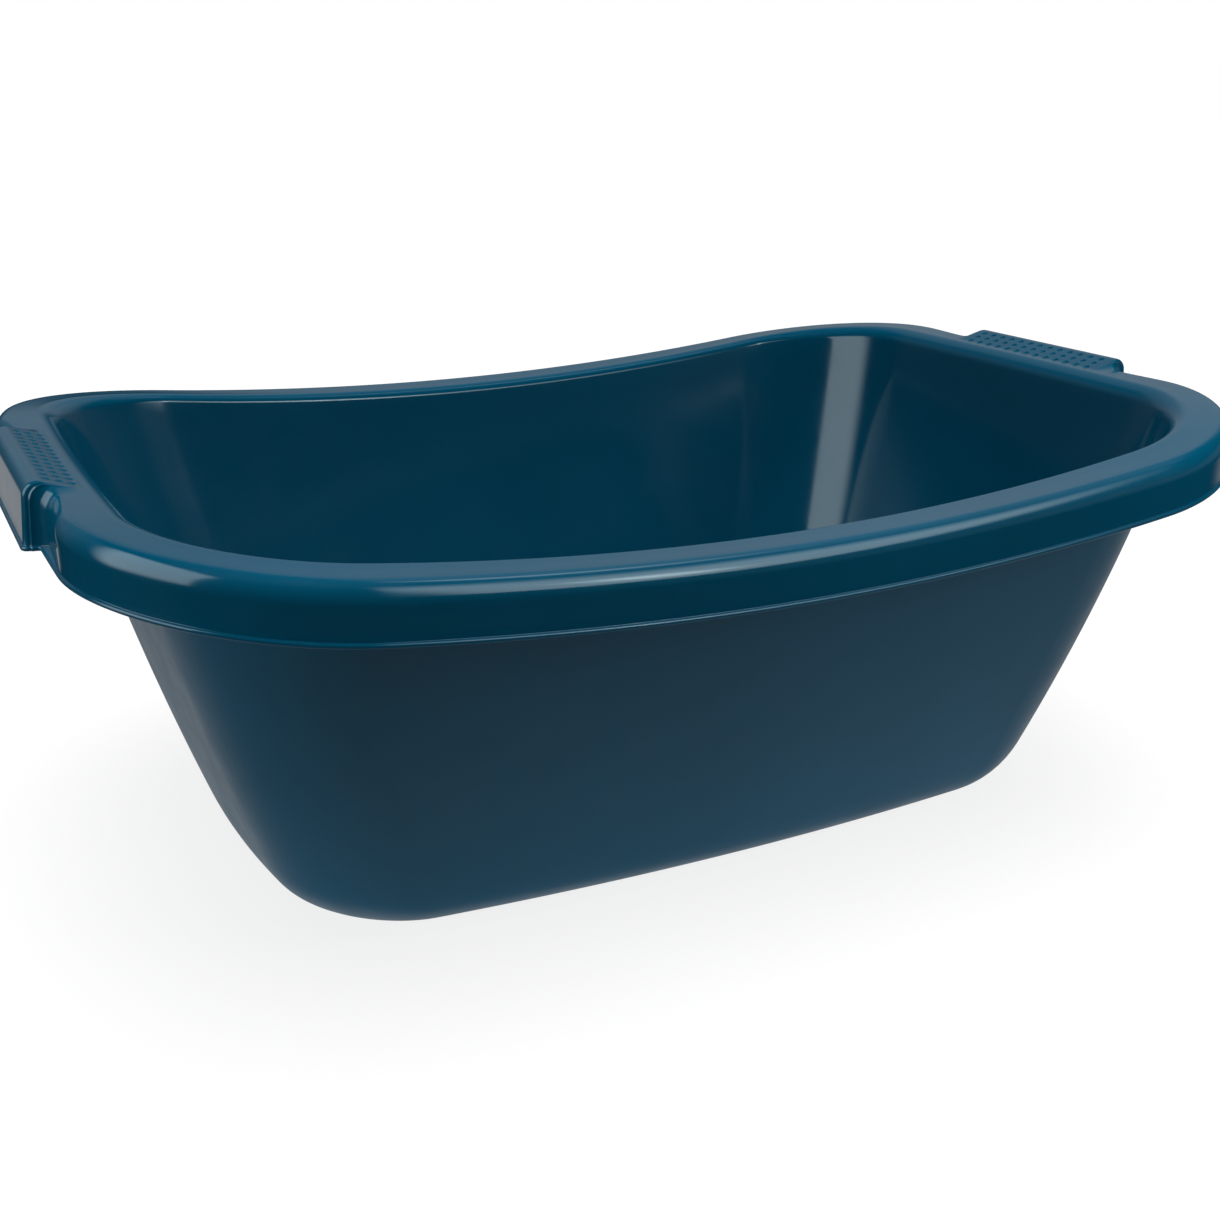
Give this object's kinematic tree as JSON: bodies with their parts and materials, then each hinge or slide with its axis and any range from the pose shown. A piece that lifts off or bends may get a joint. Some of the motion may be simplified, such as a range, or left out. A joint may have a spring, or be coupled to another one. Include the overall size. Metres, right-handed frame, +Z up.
{
  "type": "plastic basin",
  "caption": "Oblong open basin with tapered walls, a wide rolled rim that dips along its long sides, and a hollow textured grip moulded into the rim at each end.",
  "frame": {"origin": "middle of the flat underside of the floor", "axes": "+X along the basin's length, towards the handle that is far right in the picture; +Y across it, away from the viewer of the picture; +Z up, out of the basin's mouth"},
  "size_m": [0.6, 0.4114, 0.2146],
  "materials": {
    "petrol_plastic": "dark petrol-blue plastic, glossy inside and on the rim, satin on the outer wall"
  },
  "bodies": {
    "root": {"tub_shell": "petrol_plastic", "rolled_rim": "petrol_plastic", "left_handle": "petrol_plastic", "right_handle": "petrol_plastic"}
  },
  "joints": []
}
